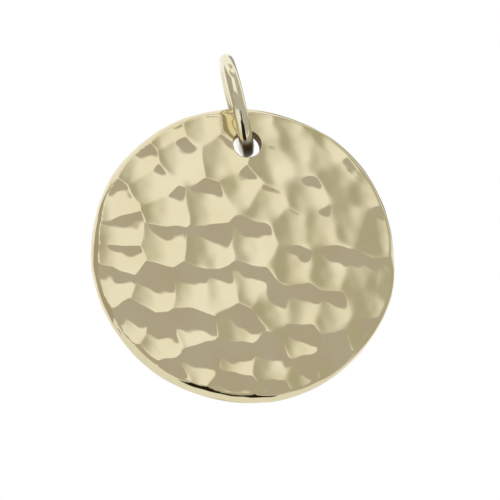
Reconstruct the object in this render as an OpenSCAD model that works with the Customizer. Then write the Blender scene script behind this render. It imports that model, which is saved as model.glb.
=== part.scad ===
// Hammered gold disc pendant on a round jump ring.
// The origin is the inner top of the ring, where a chain passes. +Z is up and the front faces -Y.

/* [Disc] */
// Diameter of the disc
disc_d = 20; // [14:0.5:26]
// Thickness of the disc before the hammer marks
disc_t = 1.5; // [1.5:0.05:2]
// How far the hammered face falls from its middle to the rim
dome = 0.3; // [0.2:0.05:0.5]
// Radius of the rounding along the front edge
front_round = 1.2; // [0.8:0.05:1.2]
// Radius of the rounding along the back edge
back_round = 0.25; // [0.1:0.05:0.25]

/* [Hammer marks] */
// Radius of the ball face that leaves the marks
ball_r = 8; // [6:0.5:11]
// Depth of a plain mark
mark_depth = 0.22; // [0.16:0.01:0.3]

/* [Hole] */
// Diameter of the hole near the top of the disc
hole_d = 1.85; // [1.7:0.05:2.4]
// Metal left between the hole and the rim
hole_web = 1.75; // [1.2:0.05:2.5]

/* [Jump ring] */
// Outer diameter of the ring
ring_d = 7; // [6.5:0.1:9]
// Thickness of the round wire
wire_d = 0.95; // [0.7:0.05:1.1]
// Lean of the ring's top toward the left, in degrees
ring_lean = 14.5; // [0:0.5:20]
// Turn of the ring about the upright line, in degrees
ring_turn = 8; // [0:0.5:12]
// How far the ring's middle sits behind the disc's
ring_push = 0.6; // [0:0.05:0.8]
// Room between the wire and the top of the hole
seat_gap = 0.3; // [0.15:0.01:0.3]

/* [Hidden] */

// Smoothness of the round shapes
turn_steps = 180;
wire_steps = 64;
ball_steps = 120;
// How far the drill runs past the metal
drill_past = 1;

disc_r = disc_d / 2;
hole_r = hole_d / 2;
wire_r = wire_d / 2;
ring_r = (ring_d - wire_d) / 2;

// Hole centre above the disc's centre, and below the wire that it hangs on
hole_up = disc_r - hole_web - hole_r;
hang_drop = hole_r - wire_r - seat_gap;

// Ways along the ring's flat plane, up to its top and out to its front
ring_up = [-sin(ring_lean) * cos(ring_turn), sin(ring_lean) * sin(ring_turn), cos(ring_lean)];
ring_front = [-sin(ring_turn), -cos(ring_turn), 0];

// Middle of the wire where the disc hangs, a little forward of the ring's lowest point
foot_angle = asin(ring_push / ring_r);
pivot = (wire_r - ring_r - ring_r * cos(foot_angle)) * ring_up + ring_push * ring_front;

// Radius of the shallow dome that the marks follow
dome_r = (disc_r * disc_r + dome * dome) / (2 * dome);

// The hammer marks, in rows from the top. Across and up are shares of the disc's radius
// from its centre, and depth is a share of a plain mark's depth.
marks = [
    // across, up, depth
    [-0.50, 0.73, 0.45],
    [-0.29, 0.79, 0.5],
    [-0.07, 0.81, 0.45],
    [0.09, 0.82, 0.4],
    [0.29, 0.84, 0.5],
    [0.53, 0.84, 1.0],

    [-0.70, 0.53, 0.85],
    [-0.42, 0.59, 1.0],
    [-0.16, 0.62, 1.0],
    [0.18, 0.59, 1.0],
    [0.34, 0.69, 1.0],
    [0.50, 0.68, 1.0],

    [-0.61, 0.41, 1.0],
    [-0.52, 0.26, 1.0],
    [-0.25, 0.31, 1.05],
    [-0.03, 0.42, 1.0],
    [0.15, 0.33, 1.0],
    [0.39, 0.41, 1.0],
    [0.61, 0.53, 1.0],
    [0.76, 0.45, 1.0],

    [-0.86, 0.28, 0.85],
    [-0.81, 0.09, 0.9],
    [-0.53, 0.03, 1.0],
    [-0.23, 0.02, 1.1],
    [0.05, 0.06, 1.15],
    [0.30, 0.19, 1.0],
    [0.49, 0.21, 1.0],
    [0.69, 0.24, 1.05],
    [0.89, 0.19, 1.35],

    [-0.81, -0.09, 0.9],
    [-0.86, -0.26, 1.0],
    [-0.59, -0.28, 1.0],
    [-0.34, -0.27, 1.0],
    [-0.16, -0.27, 1.0],
    [0.04, -0.23, 1.05],
    [0.31, -0.07, 1.0],
    [0.56, -0.07, 1.0],
    [0.77, -0.12, 1.0],
    [0.95, -0.18, 1.4],

    [-0.73, -0.54, 1.1],
    [-0.54, -0.63, 1.1],
    [-0.34, -0.56, 1.0],
    [-0.02, -0.52, 1.0],
    [0.19, -0.36, 1.0],
    [0.38, -0.35, 1.0],
    [0.60, -0.39, 1.0],
    [0.84, -0.31, 1.2],
    [0.84, -0.52, 1.45],

    [-0.66, -0.77, 0.9],
    [-0.47, -0.86, 0.9],
    [-0.29, -0.76, 1.0],
    [-0.04, -0.72, 1.0],
    [0.19, -0.74, 1.0],
    [0.37, -0.59, 1.0],
    [0.64, -0.61, 1.0],
    [0.42, -0.83, 1.2],
    [0.64, -0.78, 1.6],
    [-0.06, -0.92, 0.9],
    [0.23, -0.93, 0.9],
];

// A quarter of a round edge
module round_corner(radius) {
    intersection() {
        circle(r = radius, $fn = turn_steps);
        square(radius);
    }
}

// Half of the disc's cross-section, with the back on the ground line
module disc_profile() {
    square([disc_r - front_round, disc_t]);
    square([disc_r - back_round, disc_t - front_round]);
    translate([0, back_round]) square([disc_r, disc_t - front_round - back_round]);
    translate([disc_r - front_round, disc_t - front_round]) round_corner(front_round);
    translate([disc_r - back_round, back_round]) mirror([0, 1]) round_corner(back_round);
}

// The hammer's ball face, sunk into the front square to the dome
module mark_ball(across, up, depth) {
    place = disc_r * [across, up];
    outward = [place.x, place.y, sqrt(dome_r * dome_r - place * place)] / dome_r;
    translate([0, 0, disc_t - dome_r] + (dome_r + ball_r - mark_depth * depth) * outward)
        rotate([0, -90, 0]) sphere(r = ball_r, $fn = ball_steps);
}

// The disc laid flat, front up, after the given number of marks, each cut from what the last one left
module hammered_disc(count) {
    if (count == 0) {
        rotate_extrude($fn = turn_steps) disc_profile();
    } else {
        mark = marks[count - 1];
        difference() {
            hammered_disc(count - 1);
            mark_ball(mark[0], mark[1], mark[2]);
        }
    }
}

module jump_ring() {
    color("#e6dcb4")
    rotate([0, 0, -ring_turn]) rotate([0, -ring_lean, 0])
        translate([0, 0, wire_r - ring_r]) rotate([0, 90, 0])
            rotate_extrude($fn = turn_steps) translate([ring_r, 0]) circle(r = wire_r, $fn = wire_steps);
}

module disc() {
    color("#d8cb98")
    translate(pivot) translate([0, disc_t / 2, -hang_drop]) rotate([90, 0, 0])
        difference() {
            translate([0, -hole_up, 0]) hammered_disc(len(marks));
            translate([0, 0, -drill_past])
                cylinder(r = hole_r, h = disc_t + 2 * drill_past, $fn = turn_steps);
        }
}

jump_ring();
disc();
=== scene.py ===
import math

import bmesh
import bpy
import numpy as np
from mathutils import Matrix, Vector
from mathutils.geometry import delaunay_2d_cdt


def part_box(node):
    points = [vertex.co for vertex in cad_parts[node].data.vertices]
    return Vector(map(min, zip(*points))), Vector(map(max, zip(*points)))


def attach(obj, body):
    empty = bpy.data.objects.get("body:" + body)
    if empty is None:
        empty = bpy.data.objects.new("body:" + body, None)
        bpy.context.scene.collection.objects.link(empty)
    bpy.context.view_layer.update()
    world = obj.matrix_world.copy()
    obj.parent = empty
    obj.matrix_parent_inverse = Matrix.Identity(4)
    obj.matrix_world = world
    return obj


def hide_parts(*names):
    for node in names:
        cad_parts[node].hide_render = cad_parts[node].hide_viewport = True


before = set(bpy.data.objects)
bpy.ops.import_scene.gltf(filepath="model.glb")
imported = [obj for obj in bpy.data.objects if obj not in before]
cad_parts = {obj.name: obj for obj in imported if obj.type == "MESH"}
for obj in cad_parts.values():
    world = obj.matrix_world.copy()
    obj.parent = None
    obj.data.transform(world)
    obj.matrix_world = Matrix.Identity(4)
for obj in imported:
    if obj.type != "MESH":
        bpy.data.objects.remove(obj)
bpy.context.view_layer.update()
mm = 0.001  # lengths in the dictionaries are millimetres and angles are degrees
print("frame loaded with", ", ".join(sorted(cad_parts)))


# Smooth ripples over a flat map of the surface, the same on every run
def ripple(place, wavelength, height, seed):
    waves = 14
    shortest, longest = 0.7, 1.4  # shares of the wavelength
    rng = np.random.default_rng(seed)
    heading = rng.uniform(0, 2 * math.pi, waves)
    length = wavelength * rng.uniform(shortest, longest, waves)
    phase = rng.uniform(0, 2 * math.pi, waves)
    along = place[:, :1] * np.cos(heading) + place[:, 1:2] * np.sin(heading)
    return height * math.sqrt(2 / waves) * np.cos(2 * math.pi * along / length + phase).sum(1)


def easeIn(value):
    value = np.clip(value, 0, 1)
    return value * value * (3 - 2 * value)


# Evenly staggered points over a square that holds a round field
def staggered(radius, spacing):
    across, up = np.meshgrid(
        np.arange(-radius, radius, spacing),
        np.arange(-radius, radius, spacing * math.sqrt(3) / 2),
    )
    across[::2] += spacing / 2
    return np.column_stack((across.ravel(), up.ravel()))


def circlePoints(radius, count, centre=(0, 0)):
    turn = np.arange(count) / count * 2 * math.pi
    return np.column_stack((centre[0] + radius * np.cos(turn), centre[1] + radius * np.sin(turn)))


def atLevel(places, level):
    return np.column_stack((places, np.full(len(places), level)))


# Quads between two loops of points that start at the given numbers
def loopFaces(first, second, count):
    here = np.arange(count)
    after = (here + 1) % count
    return np.column_stack((first + here, first + after, second + after, second + here))


def newMaterial(name):
    material = bpy.data.materials.new(name)
    material.use_nodes = True
    return material


# Adds a node with the given sockets, each set to a value or linked to another node's output
def addNode(material, kind, sockets={}):
    node = material.node_tree.nodes.new(kind)
    for socket, source in sockets.items():
        if isinstance(source, bpy.types.NodeSocket):
            material.node_tree.links.new(source, node.inputs[socket])
        else:
            node.inputs[socket].default_value = source
    return node


def attributeNode(material, name):
    node = addNode(material, "ShaderNodeAttribute")
    node.attribute_name = name
    return node.outputs["Fac"]


def placed(name, mesh, material):
    piece = bpy.data.objects.new(name, mesh)
    mesh.materials.append(material)
    bpy.context.scene.collection.objects.link(piece)
    return piece


# Metal

discGold = {
    "tint": (0.785, 0.700, 0.455),
    "paleTint": (0.820, 0.745, 0.515),
    "cloudSize": 2.2,
    "roughness": (0.03, 0.075),
    "scratchSize": 0.035,
    "scratchDepth": 0.00012,
    "scratchHeadings": (18, 74, 131),
    # the last entry is painted shade inside the hole: a dark tint, duller and less metallic
    "stain": {"tint": (0.20, 0.135, 0.055), "roughness": 0.4, "metallic": 0.5, "shine": 0.3},
}

ringGold = {
    "tint": (0.840, 0.785, 0.575),
    "paleTint": (0.870, 0.830, 0.650),
    "cloudSize": 0.9,
    "roughness": (0.04, 0.09),
    "scratchSize": 0.03,
    "scratchDepth": 0.00015,
    "scratchHeadings": (8, 97),
    # the last entry is painted shade on the wire where it lies in the hole
    "stain": {"tint": (0.075, 0.045, 0.016), "roughness": 0.5, "metallic": 0.15, "shine": 0.1},
}

# What both golds share. A range is the part of the noise that the change runs over.
polish = {
    "cloudDetail": 3,
    "cloudRange": (0.35, 0.68),
    "dullDetail": 5,
    "dullFineness": 1.7,  # times as fine as the clouds
    "dullRange": (0.3, 0.75),
    "scratchDetail": 2,
    "scratchSlimness": 0.08,  # width over length
    "scratchThrough": 6,  # changes per millimetre into the metal
}


def noise(material, vector, scale, detail):
    sockets = {"Vector": vector, "Scale": scale, "Detail": detail}
    return addNode(material, "ShaderNodeTexNoise", sockets).outputs["Fac"]


# Faint clouds of paler metal
def cloudedTint(material, surface, look):
    clouds = noise(material, surface, 1 / look["cloudSize"], polish["cloudDetail"])
    tints = addNode(material, "ShaderNodeValToRGB", {"Fac": clouds})
    plain, pale = tints.color_ramp.elements
    plain.position, pale.position = polish["cloudRange"]
    plain.color, pale.color = (*look["tint"], 1), (*look["paleTint"], 1)
    return tints.outputs["Color"]


# Patches where the polish is a little duller
def patchyRoughness(material, surface, look):
    fineness = polish["dullFineness"] / look["cloudSize"]
    gloss = addNode(material, "ShaderNodeMapRange", {
        "Value": noise(material, surface, fineness, polish["dullDetail"]),
        "From Min": polish["dullRange"][0],
        "From Max": polish["dullRange"][1],
        "To Min": look["roughness"][0],
        "To Max": look["roughness"][1],
    })
    return gloss.outputs["Result"]


# Hairline scratches left by polishing, in a few headings
def scratchedNormal(material, surface, look):
    across = 1 / look["scratchSize"]
    along = polish["scratchSlimness"] / look["scratchSize"]
    height = None
    for heading in look["scratchHeadings"]:
        lay = addNode(material, "ShaderNodeMapping", {
            "Vector": surface,
            "Rotation": (0, math.radians(heading), 0),
            "Scale": (across, polish["scratchThrough"], along),
        })
        lines = noise(material, lay.outputs["Vector"], 1, polish["scratchDetail"])
        if height is None:
            height = lines
        else:
            both = addNode(material, "ShaderNodeMath", {0: height, 1: lines})
            both.operation = "ADD"
            height = both.outputs["Value"]
    bump = addNode(material, "ShaderNodeBump", {
        "Strength": 1,
        "Distance": look["scratchDepth"] * mm,
        "Height": height,
    })
    return bump.outputs["Normal"]


def polishedGold(name, look):
    material = newMaterial(name)
    shader = material.node_tree.nodes["Principled BSDF"]
    inMm = addNode(material, "ShaderNodeMapping", {
        "Vector": addNode(material, "ShaderNodeTexCoord").outputs["Object"],
        "Scale": (1 / mm, 1 / mm, 1 / mm),
    })
    surface = inMm.outputs["Vector"]

    # the hole and the wire in it are left duller and less metallic, with painted shade darkening
    # their colour
    stain = attributeNode(material, "stain")
    tint = addNode(material, "ShaderNodeMixRGB", {
        "Fac": stain,
        "Color1": cloudedTint(material, surface, look),
        "Color2": (*look["stain"]["tint"], 1),
    })
    roughness = addNode(material, "ShaderNodeMix", {
        "Factor": stain,
        "A": patchyRoughness(material, surface, look),
        "B": look["stain"]["roughness"],
    })
    metallic = addNode(material, "ShaderNodeMix", {
        "Factor": stain,
        "A": 1,
        "B": look["stain"]["metallic"],
    })

    links = material.node_tree.links
    links.new(tint.outputs["Color"], shader.inputs["Base Color"])
    links.new(roughness.outputs["Result"], shader.inputs["Roughness"])
    links.new(metallic.outputs["Result"], shader.inputs["Metallic"])
    links.new(scratchedNormal(material, surface, look), shader.inputs["Normal"])
    shader.inputs["Specular IOR Level"].default_value = look["stain"]["shine"]
    return material


# Hammered disc

disc = {
    "diameter": 20,
    "thickness": 1.5,
    "dome": 0.3,
    "frontRound": 1.2,
    "backRound": 0.25,
    "ballRadius": 8,
    "markDepth": 0.22,
    "holeDiameter": 1.85,
    "holeWeb": 1.75,
    "holeBreak": 0.07,
    "ridgeSoftness": (0.012, 0.045),
    "wearAtMiddle": 0.4,
    # ripples, each with its wavelength, height and seed
    "ridgeWander": ((1.9, 0.045, 3), (1.9, 0.045, 4)),
    "blankWaver": (1.6, 0.006, 5),
    "wearDrift": (3.1, 0.25, 6),  # its height is a share of full wear
    "dents": ((6.5, 0.028, 67), (2.2, 0.0045, 100), (1.1, 0.0018, 22)),
    "rimWander": (7, 0.02, 12),
    "rimWanderPower": 6,  # how fast it dies away inward
    "backRipple": (4.5, 0.02, 9),
    "backFade": 1.5,
    # how finely it is meshed
    "rimSteps": 960,
    "holeSteps": 168,
    "fineSpacing": 0.052,
    "plainSpacing": 0.16,
    "backSpacing": 0.4,
    "edgeSpacing": 0.07,
    "normalStep": 0.008,
    # how near to each of these the front is finely meshed
    "fineNear": {"ridge": 0.035, "blank": 0.03, "hole": 0.25, "edge": 0.15},
    # how far the back's points keep from these
    "backClear": {"rim": 0.15, "hole": 0.1},
}

# Where the hammer struck, in rows from the top. Each mark is (across, up, depth). Across and up
# are shares of the disc's radius, and depth is a share of a plain mark's depth.
marks = np.array([
    (-0.50, 0.73, 0.45), (-0.29, 0.79, 0.5), (-0.07, 0.81, 0.45),
    (0.09, 0.82, 0.4), (0.29, 0.84, 0.5), (0.53, 0.84, 1.0),

    (-0.70, 0.53, 0.85), (-0.42, 0.59, 1.0), (-0.16, 0.62, 1.0),
    (0.18, 0.59, 1.0), (0.34, 0.69, 1.0), (0.50, 0.68, 1.0),

    (-0.61, 0.41, 1.0), (-0.52, 0.26, 1.0), (-0.25, 0.31, 1.05), (-0.03, 0.42, 1.0),
    (0.15, 0.33, 1.0), (0.39, 0.41, 1.0), (0.61, 0.53, 1.0), (0.76, 0.45, 1.0),

    (-0.86, 0.28, 0.85), (-0.81, 0.09, 0.9), (-0.53, 0.03, 1.0), (-0.23, 0.02, 1.1),
    (0.05, 0.06, 1.15), (0.30, 0.19, 1.0), (0.49, 0.21, 1.0), (0.69, 0.24, 1.05),
    (0.89, 0.19, 1.35),

    (-0.81, -0.09, 0.9), (-0.86, -0.26, 1.0), (-0.59, -0.28, 1.0), (-0.34, -0.27, 1.0),
    (-0.16, -0.27, 1.0), (0.04, -0.23, 1.05), (0.31, -0.07, 1.0), (0.56, -0.07, 1.0),
    (0.77, -0.12, 1.0), (0.95, -0.18, 1.4),

    (-0.73, -0.54, 1.1), (-0.54, -0.63, 1.1), (-0.34, -0.56, 1.0), (-0.02, -0.52, 1.0),
    (0.19, -0.36, 1.0), (0.38, -0.35, 1.0), (0.60, -0.39, 1.0), (0.84, -0.31, 1.2),
    (0.84, -0.52, 1.45),

    (-0.66, -0.77, 0.9), (-0.47, -0.86, 0.9), (-0.29, -0.76, 1.0), (-0.04, -0.72, 1.0),
    (0.19, -0.74, 1.0), (0.37, -0.59, 1.0), (0.64, -0.61, 1.0), (0.42, -0.83, 1.2),
    (0.64, -0.78, 1.6), (-0.06, -0.92, 0.9), (0.23, -0.93, 0.9),
])

# The disc is shaped lying on its back at zero. The blank's flat face ends at the core radius, and
# its rounded front edge begins there and at the core level.
discRadius = disc["diameter"] / 2
coreRadius = discRadius - disc["frontRound"]
coreLevel = disc["thickness"] - disc["frontRound"]
holeRadius = disc["holeDiameter"] / 2
holeCentre = (0, discRadius - disc["holeWeb"] - holeRadius)


def fromMiddle(places):
    return np.hypot(places[:, 0], places[:, 1])


def fromHole(places):
    return np.hypot(*(places - holeCentre).T) - holeRadius


# Centres of the hammer's ball at each strike, square to the dome
def ballCentres():
    struck = marks[:, :2] * discRadius
    domeRadius = (discRadius ** 2 + disc["dome"] ** 2) / (2 * disc["dome"])
    rise = np.sqrt(domeRadius ** 2 - (struck ** 2).sum(1))
    outward = np.column_stack((struck, rise)) / domeRadius
    away = domeRadius - disc["markDepth"] * marks[:, 2] + disc["ballRadius"]
    centres = away[:, None] * outward
    centres[:, 2] += disc["thickness"] - domeRadius
    return centres


balls = ballCentres()


# How far a ray from inside the metal runs before each ball stops it
def reachOfBalls(start, heading):
    missed = 9  # further than any ball
    reach = np.empty((len(start), len(balls)))
    for i, ball in enumerate(balls):
        gap = ball - start
        along = (gap * heading).sum(1)
        under = along ** 2 - (gap ** 2).sum(1) + disc["ballRadius"] ** 2
        reach[:, i] = np.where(under > 0, along - np.sqrt(np.maximum(under, 0)), missed)
    return reach


# The surface along each ray, at whichever of the blank and the balls stops it first, with worn
# ridges between. The ridges are more worn toward the right.
def hammered(start, heading, flatMap):
    wandering = start.copy()
    for axis, wander in enumerate(disc["ridgeWander"]):
        wandering[:, axis] += ripple(flatMap, *wander)
    blank = disc["frontRound"] + ripple(flatMap, *disc["blankWaver"])[:, None]
    reach = np.hstack((blank, reachOfBalls(wandering, heading)))
    rightward = flatMap[:, 0] / discRadius
    wear = easeIn(disc["wearAtMiddle"] + rightward + ripple(flatMap, *disc["wearDrift"]))
    crisp, worn = disc["ridgeSoftness"]
    soft = (crisp + (worn - crisp) * wear)[:, None]
    first = reach.min(1, keepdims=True)
    stop = first[:, 0] - soft[:, 0] * np.log(np.exp((first - reach) / soft).sum(1))
    for dent in disc["dents"]:
        stop += ripple(flatMap, *dent)
    return start + stop[:, None] * heading


# Rays straight out through the front
def faceRays(place):
    return atLevel(place, coreLevel), np.tile((0.0, 0.0, 1.0), (len(place), 1))


def facePoint(place):
    return hammered(*faceRays(place), place)


def edgePoint(turn, tilt):
    outward = np.column_stack((np.cos(turn), np.sin(turn)))
    start = atLevel(coreRadius * outward, coreLevel)
    heading = np.column_stack((outward * np.cos(tilt)[:, None], np.sin(tilt)))
    unrolled = outward * (coreRadius + disc["frontRound"] * (math.pi / 2 - tilt))[:, None]
    return hammered(start, heading, unrolled)


def squareTo(first, second):
    normals = np.cross(first, second)
    return normals / np.linalg.norm(normals, axis=1, keepdims=True)


def faceNormals(place):
    across, up = np.array(((disc["normalStep"], 0), (0, disc["normalStep"])))
    return squareTo(
        facePoint(place + across) - facePoint(place - across),
        facePoint(place + up) - facePoint(place - up),
    )


def edgeNormals(turn, tilt):
    step = disc["normalStep"] / discRadius
    lift = disc["normalStep"] / disc["frontRound"]
    return squareTo(
        edgePoint(turn + step, tilt) - edgePoint(turn - step, tilt),
        edgePoint(turn, tilt + lift) - edgePoint(turn, tilt - lift),
    )


# Fine points where two marks meet, wider ones inside the marks
def facePlaces():
    near = disc["fineNear"]
    keep = []
    for spacing, wantFine in ((disc["fineSpacing"], True), (disc["plainSpacing"], False)):
        places = staggered(coreRadius, spacing)
        places = places[fromMiddle(places) < coreRadius - disc["fineSpacing"]]
        places = places[fromHole(places) > disc["holeBreak"] + 0.5 * disc["fineSpacing"]]
        reach = np.sort(reachOfBalls(*faceRays(places)), axis=1)
        fine = reach[:, 1] - reach[:, 0] < near["ridge"]
        fine |= reach[:, 0] > disc["frontRound"] - near["blank"]
        fine |= fromHole(places) < near["hole"]
        fine |= fromMiddle(places) > coreRadius - near["edge"]
        keep.append(places[fine == wantFine])
    return np.vstack(keep)


# A flat sheet of triangles between an outer loop and the hole's loop
def meshedField(outer, inner, places):
    points = np.vstack((outer, inner, places))
    loops = [(i, (i + 1) % len(outer)) for i in range(len(outer))]
    loops += [(len(outer) + i, len(outer) + (i + 1) % len(inner)) for i in range(len(inner))]
    tolerance = 1e-6
    corners, _, triangles, *_ = delaunay_2d_cdt(
        [Vector(point) for point in points], loops, [], 0, tolerance
    )
    if len(corners) != len(points):
        raise RuntimeError("the triangulation merged or added points")
    triangles = np.array(triangles)
    middle = points[triangles].mean(1)
    inHole = fromHole(middle) < 0.5 * disc["holeBreak"]
    inRim = fromMiddle(middle) < fromMiddle(outer)[0]
    return triangles[~inHole & inRim]


# Gathers the disc's points, with their normals and painted shade, and its faces
class Surface:
    def __init__(self):
        self.points, self.normals, self.stain, self.faces = [], [], [], []

    # adds a loop or field of points and returns the number of its first one
    def add(self, points, normals=None, stain=0.0):
        start = sum(len(block) for block in self.points)
        self.points.append(points)
        # a zero normal leaves the smoothing to Blender
        self.normals.append(np.zeros_like(points) if normals is None else normals)
        self.stain.append(np.full(len(points), stain))
        return start

    # adds a loop joined to the last one, on the rim or, facing inward, in the hole
    def addLoop(self, last, points, normals=None, stain=0.0, inward=False):
        loop = self.add(points, normals, stain)
        first, second = (last, loop) if inward else (loop, last)
        self.faces.append(loopFaces(first, second, len(points)))
        return loop


# One loop of the hole's broken mouth, from the flat at 0 to the wall at a right angle
def mouthLoop(a):
    spread = disc["holeBreak"] * (1 - math.sin(a))
    return circlePoints(holeRadius + spread, disc["holeSteps"], holeCentre)


# The hammered front, with the numbers that its outer loop and the hole's loop start at
def addFront(surface):
    outer, inner = circlePoints(coreRadius, disc["rimSteps"]), mouthLoop(0)
    places = np.vstack((outer, inner, facePlaces()))
    rim = surface.add(facePoint(places), faceNormals(places))
    triangles = meshedField(outer, inner, places[len(outer) + len(inner):])
    surface.faces.append(triangles + rim)
    print("front meshed with", len(triangles), "triangles")
    return rim, rim + len(outer)


# The rounded front edge, where marks run out over it
def addFrontEdge(surface, last):
    rimSteps = disc["rimSteps"]
    turn = np.arange(rimSteps) / rimSteps * 2 * math.pi
    loops = round(disc["frontRound"] * math.pi / 2 / disc["edgeSpacing"])
    for i in range(1, loops + 1):
        tilt = np.full(rimSteps, (1 - i / loops) * math.pi / 2)
        last = surface.addLoop(last, edgePoint(turn, tilt), edgeNormals(turn, tilt))
    return last


def addSideAndBackEdge(surface, last):
    rimSteps, backRound = disc["rimSteps"], disc["backRound"]
    for a in np.radians((0, 18, 36, 54, 72, 90)):
        radius = discRadius - backRound * (1 - math.cos(a))
        level = backRound * (1 - math.sin(a))
        outward = atLevel(circlePoints(math.cos(a), rimSteps), -math.sin(a))
        last = surface.addLoop(last, atLevel(circlePoints(radius, rimSteps), level), outward)
    return last


# The plain back, rippled a little inside its rim
def addBack(surface, backRim):
    rimSteps, clear = disc["rimSteps"], disc["backClear"]
    radius = discRadius - disc["backRound"]
    places = staggered(discRadius, disc["backSpacing"])
    places = places[fromMiddle(places) < radius - clear["rim"]]
    places = places[fromHole(places) > disc["holeBreak"] + clear["hole"]]
    triangles = meshedField(circlePoints(radius, rimSteps), mouthLoop(0), places)
    fade = np.clip((radius - fromMiddle(places)) / disc["backFade"], 0, 1)
    dips = np.abs(ripple(places, *disc["backRipple"])) * fade
    backMouth = surface.add(atLevel(mouthLoop(0), 0.0))
    surface.add(np.column_stack((places, dips)))
    onRim = triangles < rimSteps
    triangles = np.where(onRim, triangles + backRim, triangles - rimSteps + backMouth)
    surface.faces.append(triangles[:, ::-1])
    return backMouth


# The drilled hole between its softly broken mouths, with painted shade from its wall to the back
def addHole(surface, last, backMouth):
    bevel = disc["holeBreak"]
    corner = np.radians((22.5, 45, 67.5))
    for a in corner:
        level = facePoint(mouthLoop(a))[:, 2] - bevel * (1 - math.cos(a))
        last = surface.addLoop(last, np.column_stack((mouthLoop(a), level)), inward=True)
    wall = circlePoints(holeRadius, disc["holeSteps"], holeCentre)
    height = facePoint(wall)[:, 2] - 2 * bevel
    for share in (1, 0.75, 0.5, 0.25, 0):
        points = np.column_stack((wall, bevel + height * share))
        last = surface.addLoop(last, points, stain=1.0, inward=True)
    for a in corner[::-1]:
        points = atLevel(mouthLoop(a), bevel * (1 - math.cos(a)))
        last = surface.addLoop(last, points, stain=1.0, inward=True)
    surface.faces.append(loopFaces(last, backMouth, disc["holeSteps"]))


def buildDisc():
    surface = Surface()
    rim, mouth = addFront(surface)
    backRim = addSideAndBackEdge(surface, addFrontEdge(surface, rim))
    addHole(surface, mouth, addBack(surface, backRim))
    points, normals = np.vstack(surface.points), np.vstack(surface.normals)
    print("disc shaped with", len(points), "points")

    # the hand-finished rim isn't a perfect circle
    reach = fromMiddle(points)
    least = 1e-6  # a point at the very middle has no heading
    onRim = points[:, :2] / np.maximum(reach, least)[:, None] * discRadius
    nearRim = (reach / discRadius) ** disc["rimWanderPower"]
    stretch = 1 + ripple(onRim, *disc["rimWander"]) / discRadius * nearRim
    points[:, :2] *= stretch[:, None]

    # stood upright in the frame, front toward -Y
    low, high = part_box("disc")
    upright = np.array(((1, 0, 0), (0, 0, -1), (0, 1, 0)), float)
    middle = np.array(((low.x + high.x) / 2, high.y, (low.z + high.z) / 2))
    mesh = bpy.data.meshes.new("hammeredDisc")
    faces = [face for block in surface.faces for face in block.tolist()]
    mesh.from_pydata((points @ upright.T * mm + middle).tolist(), [], faces)
    mesh.shade_smooth()
    mesh.normals_split_custom_set_from_vertices((normals @ upright.T).tolist())
    # painted shade: full on the hole's wall and back mouth, none elsewhere
    stain = mesh.attributes.new("stain", "FLOAT", "POINT")
    stain.data.foreach_set("value", np.concatenate(surface.stain))
    piece = placed("hammeredDisc", mesh, polishedGold("hammeredGold", discGold))
    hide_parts("disc")
    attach(piece, "disc")
    return piece


discPiece = buildDisc()
print("disc hammered with", len(marks), "marks and", len(discPiece.data.polygons), "faces")


# Jump ring

ring = {
    "diameter": 7,
    "wire": 0.95,
    "lean": 14.5,
    "turn": 8,
    "wireRipple": (2.5, 0.004, 31),  # wavelength, height and seed
    "around": 288,
    "wireSteps": 72,
    # the painted shade on the wire in the hole, in degrees round from the ring's top
    "stainedFrom": 138,
    "stainedTo": 212,
    "stainFade": 12,
    "stainOnSides": 0.35,
    # it deepens toward the wire's outer line, over these shares of the wire's radius
    "stainDeepens": (0.55, 0.85),
}


def buildRing():
    wireRadius = ring["wire"] / 2
    ringRadius = (ring["diameter"] - ring["wire"]) / 2
    around, across = np.meshgrid(
        np.arange(ring["around"]) / ring["around"] * 2 * math.pi,
        np.arange(ring["wireSteps"]) / ring["wireSteps"] * 2 * math.pi,
        indexing="ij",
    )
    around, across = around.ravel(), across.ravel()
    flatMap = np.column_stack((np.cos(around), np.sin(around))) * ringRadius
    thick = wireRadius + ripple(flatMap, *ring["wireRipple"])
    out = ringRadius + thick * np.cos(across)
    points = np.column_stack((thick * np.sin(across), out * np.sin(around), out * np.cos(around)))
    faces = []
    for i in range(ring["around"]):
        here, there = i * ring["wireSteps"], (i + 1) % ring["around"] * ring["wireSteps"]
        faces += loopFaces(here, there, ring["wireSteps"]).tolist()

    mesh = bpy.data.meshes.new("jumpRing")
    mesh.from_pydata((points * mm).tolist(), [], faces)
    mesh.shade_smooth()

    # painted shade on the underside in the hole
    hung = np.degrees(around)
    stain = easeIn((hung - ring["stainedFrom"]) / ring["stainFade"])
    stain *= easeIn((ring["stainedTo"] - hung) / ring["stainFade"])
    begins, full = ring["stainDeepens"]
    deep = easeIn((np.cos(across) - begins) / (full - begins))
    stain *= ring["stainOnSides"] + (1 - ring["stainOnSides"]) * deep
    mesh.attributes.new("stain", "FLOAT", "POINT").data.foreach_set("value", stain)

    lean = Matrix.Rotation(math.radians(-ring["lean"]), 4, "Y")
    turn = Matrix.Rotation(math.radians(-ring["turn"]), 4, "Z")
    mesh.transform(turn @ lean @ Matrix.Translation((0, 0, (wireRadius - ringRadius) * mm)))
    outward = bmesh.new()
    outward.from_mesh(mesh)
    bmesh.ops.recalc_face_normals(outward, faces=outward.faces)
    outward.to_mesh(mesh)
    outward.free()
    piece = placed("jumpRing", mesh, polishedGold("ringGold", ringGold))
    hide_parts("jump_ring")
    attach(piece, "jump_ring")
    return piece


ringPiece = buildRing()
print("ring bent from", len(ringPiece.data.polygons), "faces")


# Studio

studio = {
    "white": 1.0,
    "sheetSteps": 40,
    "keyLight": {"azimuth": -35, "elevation": 62, "distance": 620, "size": 320, "watts": 0.5},
}

floor = {
    "level": -235,
    "reach": 1500,
    "sides": 96,
    "tint": (0.86, 0.86, 0.85),
    "roughness": 0.8,
}

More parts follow.
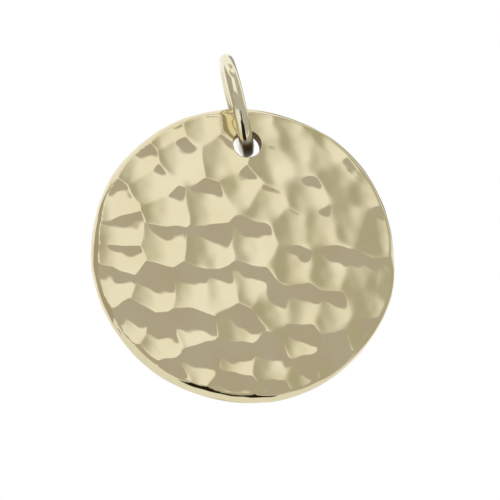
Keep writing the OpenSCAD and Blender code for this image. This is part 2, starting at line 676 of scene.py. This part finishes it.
# Cards that the polished metal mirrors, as seen from the disc. Their top and bottom edges are
# (azimuth, elevation) pairs, and fade is how far in the sides and ends grow solid, all in degrees.
cards = {
    "khakiCard": {
        "top": (
            (-70, 0), (-45, 6), (-30, 10), (-20, 13), (-10, 13.5), (0, 13), (10, 10.5),
            (16, 8), (23, 5), (30, 0), (36, -4), (60, -8), (90, -8),
        ),
        "bottom": (
            (-70, -28), (-26, -28), (-18, -62), (23, -62), (25, -30), (28, -30),
            (30, -62), (90, -58),
        ),
        "fade": (0.6, 0.5),
        "distance": 180,
        "light": (0.515, 0.485, 0.465),
    },
    "darkCard": {
        "top": (
            (-60, -68), (-30, -64), (-12, -48), (-5, -42), (-1, -25), (12, -23), (16, -38),
            (30, -54), (60, -62),
        ),
        "bottom": ((-60, -80), (60, -80)),
        "fade": (3, 3),
        "distance": 150,
        "light": (0.07, 0.05, 0.025),
    },
    "greyCard": {
        "top": ((-2, 64), (100, 64)),
        "bottom": ((-2, -30), (100, -30)),
        "fade": (26, 8),
        "distance": 600,
        "light": (0.50, 0.495, 0.42),
    },
    "leftCard": {
        "top": ((-125, 44), (-34, 44)),
        "bottom": ((-125, -28), (-34, -28)),
        "fade": (6, 8),
        "distance": 600,
        "light": (0.46, 0.42, 0.36),
    },
    "rightCard": {
        "top": ((72, 20), (139, 20)),
        "bottom": ((72, -52), (139, -44)),
        "fade": (8, 6),
        "distance": 610,
        "light": (0.50, 0.47, 0.40),
    },
    "highCard": {
        "top": ((-60, 64), (40, 64)),
        "bottom": ((-60, 46), (40, 46)),
        "fade": (12, 4),
        "distance": 500,
        "light": (0.56, 0.52, 0.45),
    },
    "behindCard": {
        "top": ((122, 62), (168, 62)),
        "bottom": ((122, 18), (168, 18)),
        "fade": (6, 6),
        "distance": 500,
        "light": (0.40, 0.39, 0.35),
    },
    "topCard": {
        "top": ((-95, 88), (95, 88)),
        "bottom": ((-95, 70), (95, 70)),
        "fade": (10, 5),
        "distance": 600,
        "light": (0.55, 0.52, 0.46),
    },
}

# A dark board below, in millimetres from the disc's middle
board = {
    "across": (-58, 56),
    "deep": (-90, 24),
    "level": -120,
    "fade": 10,
    "light": (0.020, 0.015, 0.010),
}

discMiddle = sum(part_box("disc"), Vector()) / 2


def towards(azimuth, elevation, distance=1):
    a, e = math.radians(azimuth), math.radians(elevation)
    return Vector((math.sin(a) * math.cos(e), -math.cos(a) * math.cos(e), math.sin(e))) * distance


# Glows where the card is solid and lets the room through where it fades
def glowing(name, light):
    material = newMaterial(name)
    material.node_tree.nodes.clear()
    clear = addNode(material, "ShaderNodeBsdfTransparent")
    glow = addNode(material, "ShaderNodeEmission", {"Color": (*light, 1)})
    both = addNode(material, "ShaderNodeMixShader", {
        "Fac": attributeNode(material, "solid"),
        1: clear.outputs["BSDF"],
        2: glow.outputs["Emission"],
    })
    addNode(material, "ShaderNodeOutputMaterial", {"Surface": both.outputs["Shader"]})
    return material


# A grid of points that the polished metal mirrors and the camera doesn't see
def buildSheet(name, places, solid, light):
    columns, rows = solid.shape
    faces = [
        (i * rows + j, (i + 1) * rows + j, (i + 1) * rows + j + 1, i * rows + j + 1)
        for i in range(columns - 1)
        for j in range(rows - 1)
    ]
    mesh = bpy.data.meshes.new(name)
    mesh.from_pydata(places, [], faces)
    mesh.attributes.new("solid", "FLOAT", "POINT").data.foreach_set("value", solid.ravel())
    piece = placed(name, mesh, glowing(name, light))
    piece.visible_camera = False
    piece.visible_diffuse = False
    piece.visible_shadow = False


# Solid between two bounds, and fading out toward each of them
def between(value, low, high, fade):
    return easeIn((value - low) / fade) * easeIn((high - value) / fade)


def buildCard(name, card):
    top, bottom = (np.array(card[edge], float).T for edge in ("top", "bottom"))
    left, right = top[0, [0, -1]]
    sideFade, endFade = card["fade"]
    columns = np.linspace(left, right, round(right - left) + 1)
    shares = np.linspace(0, 1, studio["sheetSteps"] + 1)
    azimuth, share = np.meshgrid(columns, shares, indexing="ij")
    top, bottom = np.interp(azimuth, *top), np.interp(azimuth, *bottom)
    elevation = bottom + (top - bottom) * share
    solid = between(azimuth, left, right, sideFade) * between(elevation, bottom, top, endFade)
    places = [
        discMiddle + towards(a, e, card["distance"] * mm)
        for a, e in zip(azimuth.ravel(), elevation.ravel())
    ]
    buildSheet(name, places, solid, card["light"])


def buildBoard(name, board):
    across, deep = np.meshgrid(
        np.linspace(*board["across"], studio["sheetSteps"] + 1),
        np.linspace(*board["deep"], studio["sheetSteps"] + 1),
        indexing="ij",
    )
    solid = between(across, *board["across"], board["fade"])
    solid *= between(deep, *board["deep"], board["fade"])
    places = [
        discMiddle + Vector((x, y, board["level"])) * mm
        for x, y in zip(across.ravel(), deep.ravel())
    ]
    buildSheet(name, places, solid, board["light"])


for name, card in cards.items():
    buildCard(name, card)
buildBoard("darkBoard", board)


def buildFloor():
    shape = bmesh.new()
    bmesh.ops.create_circle(
        shape, cap_ends=True, radius=floor["reach"] * mm, segments=floor["sides"]
    )
    mesh = bpy.data.meshes.new("floor")
    shape.to_mesh(mesh)
    shape.free()
    material = newMaterial("paleFloor")
    shader = material.node_tree.nodes["Principled BSDF"]
    shader.inputs["Base Color"].default_value = (*floor["tint"], 1)
    shader.inputs["Roughness"].default_value = floor["roughness"]
    piece = placed("floor", mesh, material)
    piece.location.z = floor["level"] * mm


buildFloor()

world = bpy.data.worlds.new("softTent")
world.use_nodes = True
world.node_tree.nodes["Background"].inputs["Color"].default_value = (studio["white"],) * 3 + (1,)
bpy.context.scene.world = world


def buildLight(name, light):
    lamp = bpy.data.lights.new(name, "AREA")
    lamp.shape = "DISK"
    lamp.size = light["size"] * mm
    lamp.energy = light["watts"]
    piece = bpy.data.objects.new(name, lamp)
    away = towards(light["azimuth"], light["elevation"], light["distance"] * mm)
    piece.location = discMiddle + away
    piece.rotation_euler = away.to_track_quat("Z", "Y").to_euler()
    piece.visible_glossy = False
    bpy.context.scene.collection.objects.link(piece)


buildLight("keyLight", studio["keyLight"])
print("studio set with", len(cards), "cards")


# Camera

view = {
    "azimuth": -6.45,
    "elevation": -16.8,
    "roll": 1.16,
    "distance": 280,
    "frameWidth": 32.55,
    "aimRight": 0.28,
    "aimUp": -0.025,
    "sensor": 36,
    "clip": (10, 5000),
}


def placeCamera():
    camera = bpy.data.cameras.new("camera")
    camera.sensor_width = view["sensor"]
    camera.lens = view["sensor"] * view["distance"] / view["frameWidth"]
    camera.clip_start, camera.clip_end = (reach * mm for reach in view["clip"])
    back = towards(view["azimuth"], view["elevation"])
    right = Vector((0, 0, 1)).cross(back).normalized()
    up = back.cross(right)
    face = Vector((discMiddle.x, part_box("disc")[1].y - disc["thickness"] * mm, discMiddle.z))
    aim = face + (right * view["aimRight"] + up * view["aimUp"]) * mm
    roll = math.radians(view["roll"])
    sideways = right * math.cos(roll) + up * math.sin(roll)
    upright = up * math.cos(roll) - right * math.sin(roll)
    turn = Matrix((sideways, upright, back)).transposed().to_4x4()
    piece = bpy.data.objects.new("camera", camera)
    piece.matrix_world = Matrix.Translation(aim + back * view["distance"] * mm) @ turn
    bpy.context.scene.collection.objects.link(piece)
    bpy.context.scene.camera = piece


placeCamera()
bpy.context.scene.view_settings.view_transform = "Standard"
print("camera placed")

bpy.context.view_layer.update()
